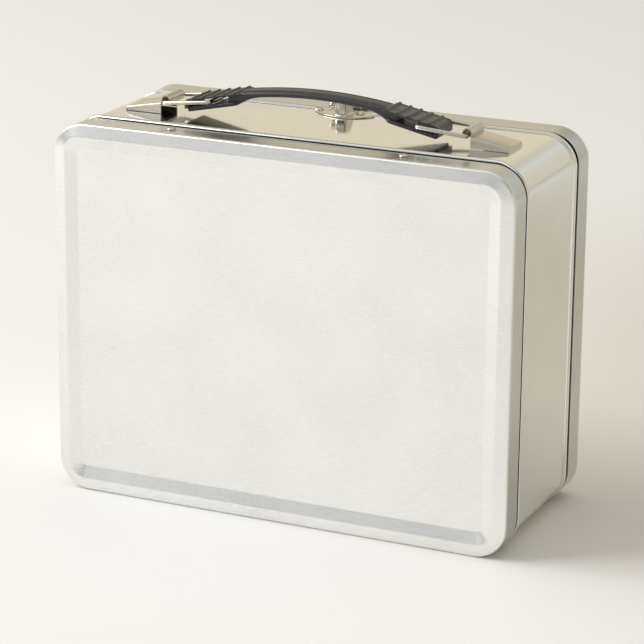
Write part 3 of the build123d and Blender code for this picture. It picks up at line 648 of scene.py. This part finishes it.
def plate_shell():
    """The ribbed end with the wall that closes the slot: its top falls outwards and rounds over at the
    end, its underside steps down where the wall begins."""
    x = np.concatenate([np.arange(35.0, SLOT_WALL_IN, 0.12), [SLOT_WALL_IN - 0.01, SLOT_WALL_IN + 0.01],
                        np.linspace(SLOT_WALL_IN + 0.1, PLATE_END, 14)])
    over = np.clip((x - (PLATE_END - 2.4)) / 2.4, 0, 1)
    inner = np.clip((36.4 - x) / 1.4, 0, 1)
    high = skin_top(x) - 0.7 * over ** 2.5 - 0.5 * inner
    low = np.where(x < SLOT_WALL_IN, skin_top(x) - SKIN_T, lip_bottom(x) + LIP_T - 0.5)
    return bar_shell(x, END_HALF - 0.25 * over ** 3, low, high, 0.35, rib_relief, 25)


def lip_shell():
    """The lower lip: a tongue that thickens outwards and is rounded at its end."""
    x = np.concatenate([np.linspace(WEB_TIP, LIP_END - 1.2, 24), LIP_END - 1.2 + 1.2 * np.sin(
        np.linspace(0.2, np.pi / 2, 7))])
    end = np.clip((x - (LIP_END - 1.2)) / 1.2, 0, 1)
    nose = 1 - np.sqrt(1 - np.minimum(end, 0.98) ** 2)
    low = lip_bottom(x) - 0.35 * (x - WEB_TIP) / (LIP_END - WEB_TIP) + 0.9 * nose
    high = lip_bottom(x) + LIP_T - 0.5 * nose
    half = LIP_HALF - 1.0 * nose - 1.2 * np.clip((WEB_TIP + 1.5 - x) / 1.5, 0, 1) ** 2
    return bar_shell(x, half, low, high, 0.5, None, 15)


def twin(shell):
    """The other end of the grip, mirrored about the grip's own middle."""
    points, quads, caps = shell
    return points * np.array([-1, 1, 1]) + np.array([2 * HANDLE_X, 0, 0]), quads, caps


make_piece("handle_arch", [arch_shell()], "handle", ["handle_grip"], sharp=42)
make_piece("handle_end_right", [plate_shell(), lip_shell()], "handle", ["handle_grip"], sharp=42)
make_piece("handle_end_left", [twin(plate_shell()), twin(lip_shell())], "handle", ["handle_grip"], sharp=42)


# ---- latch ----
PLATE_T = 0.7
PLATE_HALF, PLATE_TIP_Y = 14.2, 26.6   # half length along X, and where its two tips lie
PLATE_MID_Y = 25.5
HOUSING_HALF, HOUSING_FRONT, HOUSING_BACK, HOUSING_H, HOUSING_WALL = 2.9, 20.4, 29.0, 6.8, 0.7


def latch_base():
    """The leaf-shaped base plate: x is the half length times the cosine, y falls to the front with the 1.5
    power of the sine and swells to the rear with about its root; rows run up the edge, over and in to the
    middle."""
    turn = np.linspace(0, 2 * np.pi, 96, endpoint=False)
    sine = np.sin(turn)
    depth = np.where(sine < 0, -(PLATE_TIP_Y - plate_low.y) * np.abs(sine) ** 1.5,
                     (plate_high.y - PLATE_TIP_Y) * np.abs(sine) ** 0.47)
    scale = np.array([0.97, 1.0, 1.0, 0.993, 0.978, 0.955, 0.6, 0.25])[:, None]
    height = np.array([0.0, 0.1, 0.38, 0.56, 0.66, PLATE_T, PLATE_T, PLATE_T])[:, None]
    x = LATCH_X + scale * PLATE_HALF * np.cos(turn)
    y = PLATE_MID_Y + scale * (PLATE_TIP_Y + depth - PLATE_MID_Y)
    points = np.stack([x, y, BAND_TOP + height + 0 * x], -1)
    return grid(points, wrap_columns=True, caps=("first", "last"))


def latch_housing():
    """The pivot housing: a strip bent to a U in plan, with round front corners, flared at its foot and
    rolled in at its top, whose ears slope down to the rear."""
    bend = 1.6
    side = HOUSING_HALF
    back = np.linspace(HOUSING_BACK, HOUSING_FRONT + bend, 14)
    turn = np.linspace(0, np.pi / 2, 8)[1:]
    corner_x = side - bend + bend * np.cos(turn)
    corner_y = HOUSING_FRONT + bend - bend * np.sin(turn)
    half_x = np.concatenate([np.full(14, side), corner_x])
    half_y = np.concatenate([back, corner_y])
    plan_x = np.concatenate([half_x, -half_x[::-1]])[None, :]
    plan_y = np.concatenate([half_y, half_y[::-1]])[None, :]
    top = np.minimum(HOUSING_H, 1.5 + (HOUSING_BACK + 1 - plan_y) * (HOUSING_H - 1.5) / 4.2)
    out = np.array([0.45, 0.18, 0.0, 0.0, 0.0, 0.0, -0.12, -0.38])[:, None]
    share = np.array([0.0, 0.05, 0.12, 0.5, 0.9, 0.95, 0.985, 1.0])[:, None]
    grow_x = 1 + out / side
    grow_y = out * np.clip((24.7 - plan_y) / 2.7, 0, 1)
    points = np.stack([LATCH_X + plan_x * grow_x, plan_y - grow_y, BAND_TOP + PLATE_T + share * top], -1)
    return grid(points)


make_piece("latch_base_plate", [latch_base()], "case", ["latch_plate"], sharp=50)
make_piece("latch_pivot_housing", [latch_housing()], "case", ["latch_plate"], wall=HOUSING_WALL, sharp=50,
           inside=(LATCH_X, PLATE_MID_Y, BAND_TOP + 3))


def pin_shell(node, radius, head_h=0.25):
    """A pin along X with domed ends: its radius is full along the shaft and falls as a quarter ellipse
    over each end."""
    low, high = (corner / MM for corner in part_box(node))
    end = np.linspace(0.15, np.pi / 2, 6)
    dome_x = head_h * (1 - np.cos(end - 0.15))
    x = np.concatenate([low.x + dome_x, high.x - dome_x[::-1]])
    size = np.concatenate([radius * np.sin(end), radius * np.sin(end[::-1])])
    angle = np.linspace(0, 2 * np.pi, 24, endpoint=False)[None, :]
    mid_y, mid_z = (low.y + high.y) / 2, (low.z + high.z) / 2
    points = np.stack([x[:, None] + 0 * angle, mid_y + size[:, None] * np.cos(angle),
                       mid_z + size[:, None] * np.sin(angle)], -1)
    return grid(points, wrap_columns=True, caps=("first", "last"))


make_piece("latch_pin_turned", [pin_shell("latch_pin", 0.9)], "case", ["latch_pin"], sharp=60)
make_piece("hinge_pin_turned", [pin_shell("hinge_pin", 0.6)], "case", ["hinge_pin"], sharp=60)


# ---- stage ----
def stage_floor():
    """A large pale floor, flat under the box, with painted light and shade: a painted pool of light makes it
    lightest in front of the box, and a painted shadow makes it a little darker and warmer behind to the
    right, on the box's shaded side."""
    side = 6.0
    mesh = bpy.data.meshes.new("floor")
    mesh.from_pydata([(-side, -side, 0), (side, -side, 0), (side, side, 0), (-side, side, 0)], [],
                     [(0, 1, 2, 3)])
    floor = bpy.data.objects.new("floor", mesh)
    scene.collection.objects.link(floor)
    material, tree, output = new_material("pale_floor")
    place = add_node(tree, "ShaderNodeTexCoord")

    def near(spot, reach, inner, outer):
        """Colour that goes from inner to outer with the distance from a spot on the floor."""
        distance = add_node(tree, "ShaderNodeVectorMath", {"operation": "DISTANCE"}, {1: spot},
                            {0: place.outputs["Object"]})
        fall = add_node(tree, "ShaderNodeMapRange", {"interpolation_type": "SMOOTHSTEP"},
                        {"From Min": reach[0], "From Max": reach[1]}, {"Value": distance.outputs["Value"]})
        tone = add_node(tree, "ShaderNodeMix", {"data_type": "RGBA"},
                        links={"Factor": fall.outputs["Result"]})
        tone.inputs[6].default_value = linear(inner)
        tone.inputs[7].default_value = linear(outer)
        return tone.outputs[2]

    tone = add_node(tree, "ShaderNodeMix", {"data_type": "RGBA", "blend_type": "MULTIPLY"}, {"Factor": 1.0})
    # painted light: a lighter pool on the floor in front of the box
    tree.links.new(near((0.05, -0.45, 0), (0.25, 1.0), "#F9F8F5", "#F1F0EC"), tone.inputs[6])
    # painted shadow: a darker, warmer pool on the floor behind the box to the right
    tree.links.new(near((0.34, 0.30, 0), (0.05, 0.55), "#DFD9CC", "#FFFFFF"), tone.inputs[7])
    shader = add_node(tree, "ShaderNodeBsdfPrincipled", inputs={"Roughness": 0.9},
                      links={"Base Color": tone.outputs[2]})
    tree.links.new(shader.outputs[0], output.inputs["Surface"])
    mesh.materials.append(material)


stage_floor()


def softbox(name, place, target, size, power, colour):
    """A rectangular area light aimed at a point, sizes in metres and power in watts."""
    data = bpy.data.lights.new(name, "AREA")
    data.shape = "RECTANGLE"
    data.size, data.size_y = size
    data.energy = power
    data.color = linear(colour)[:3]
    lamp = bpy.data.objects.new(name, data)
    lamp.location = place
    lamp.rotation_euler = (Vector(target) - Vector(place)).to_track_quat("-Z", "Y").to_euler()
    scene.collection.objects.link(lamp)


ROOM_STRENGTH = 0.74
FRONT_LEVEL = 0.64       # grey of the room in front, before its brighter and darker patches
CEILING = (1.15, 1.15, 1.16, 1.0)


def room():
    """The room's own light by direction. In front a grey room, brighter low down on the right, darker low
    down on the left, with a window above that; behind a warm backdrop, greyer to the right and darker
    higher up; a white ceiling."""
    world = bpy.data.worlds.new("studio")
    scene.world = world
    world.use_nodes = True
    tree = world.node_tree
    tree.nodes.clear()
    output = tree.nodes.new("ShaderNodeOutputWorld")
    place = add_node(tree, "ShaderNodeTexCoord")
    axes = add_node(tree, "ShaderNodeSeparateXYZ", links={"Vector": place.outputs["Generated"]})

    def ramp(axis, start, end, low, high):
        """Smooth step of one direction component from low at start to high at end."""
        step = add_node(tree, "ShaderNodeMapRange", {"interpolation_type": "SMOOTHSTEP"},
                        {"From Min": start, "From Max": end, "To Min": low, "To Max": high},
                        {"Value": axes.outputs[axis]})
        return step.outputs["Result"]

    def product(first, second):
        node = add_node(tree, "ShaderNodeMath", {"operation": "MULTIPLY"}, links={0: first, 1: second})
        return node.outputs[0]

    low = product(ramp("X", -0.46, -0.40, -0.36, 0.35), ramp("Z", 0.14, 0.22, 1, 0))
    window = product(product(ramp("X", -0.46, -0.40, 1.05, 0.04), ramp("Z", 0.15, 0.20, 0, 1)),
                     ramp("Z", 0.27, 0.34, 1, 0))
    patches = add_node(tree, "ShaderNodeMath", {"operation": "ADD"}, links={0: low, 1: window})
    front = add_node(tree, "ShaderNodeMath", {"operation": "ADD"}, {1: FRONT_LEVEL}, {0: patches.outputs[0]})
    behind = add_node(tree, "ShaderNodeValToRGB", links={"Fac": ramp("X", -0.6, 0.9, 0, 1)})
    behind.color_ramp.elements[0].color = linear("#F8EDD6")
    behind.color_ramp.elements[1].color = linear("#E6D2AC")
    behind.color_ramp.elements[0].position = 0.22
    middle = behind.color_ramp.elements.new(0.50)
    middle.color = linear("#F2F4F2")
    dimmed = add_node(tree, "ShaderNodeVectorMath", {"operation": "SCALE"},
                      links={0: behind.outputs["Color"], "Scale": ramp("Z", 0.36, 0.48, 1.12, 0.72)})
    level = add_node(tree, "ShaderNodeMix", {"data_type": "RGBA"},
                     links={"Factor": ramp("Y", -0.4, 0.3, 0, 1)})
    tree.links.new(front.outputs[0], level.inputs[6])
    tree.links.new(dimmed.outputs["Vector"], level.inputs[7])
    whole = add_node(tree, "ShaderNodeMix", {"data_type": "RGBA"},
                     links={"Factor": ramp("Z", 0.80, 0.92, 0, 1)})
    tree.links.new(level.outputs[2], whole.inputs[6])
    whole.inputs[7].default_value = CEILING
    back = add_node(tree, "ShaderNodeBackground", inputs={"Strength": ROOM_STRENGTH},
                    links={"Color": whole.outputs[2]})
    tree.links.new(back.outputs[0], output.inputs["Surface"])


room()
softbox("key_left", (-2.1, -0.85, 1.9), (0, 0, 0.08), (1.8, 1.8), 57.0, "#FDFDFF")

# ---- camera ----
AZIMUTH, ELEVATION, ROLL = 24.334, 17.236, 0.514   # degrees
LENS = 155.5
BOX_WIDTH = 0.222
TARGET = Vector((0.0054, 0, 0.3688)) * BOX_WIDTH
DISTANCE = 5.739 * BOX_WIDTH


def add_camera():
    """Camera on a sphere about its target, turned about its own axis by the small roll."""
    azimuth, elevation, roll = (math.radians(a) for a in (AZIMUTH, ELEVATION, ROLL))
    back = Vector((math.sin(azimuth) * math.cos(elevation), -math.cos(azimuth) * math.cos(elevation),
                   math.sin(elevation)))
    right = Vector((math.cos(azimuth), math.sin(azimuth), 0))
    up = back.cross(right)
    right, up = (math.cos(roll) * right + math.sin(roll) * up, math.cos(roll) * up - math.sin(roll) * right)
    data = bpy.data.cameras.new("camera")
    data.lens = LENS
    camera = bpy.data.objects.new("camera", data)
    turn = Matrix((right, up, back)).transposed().to_4x4()
    camera.matrix_world = Matrix.Translation(TARGET + DISTANCE * back) @ turn
    scene.collection.objects.link(camera)
    scene.camera = camera


add_camera()
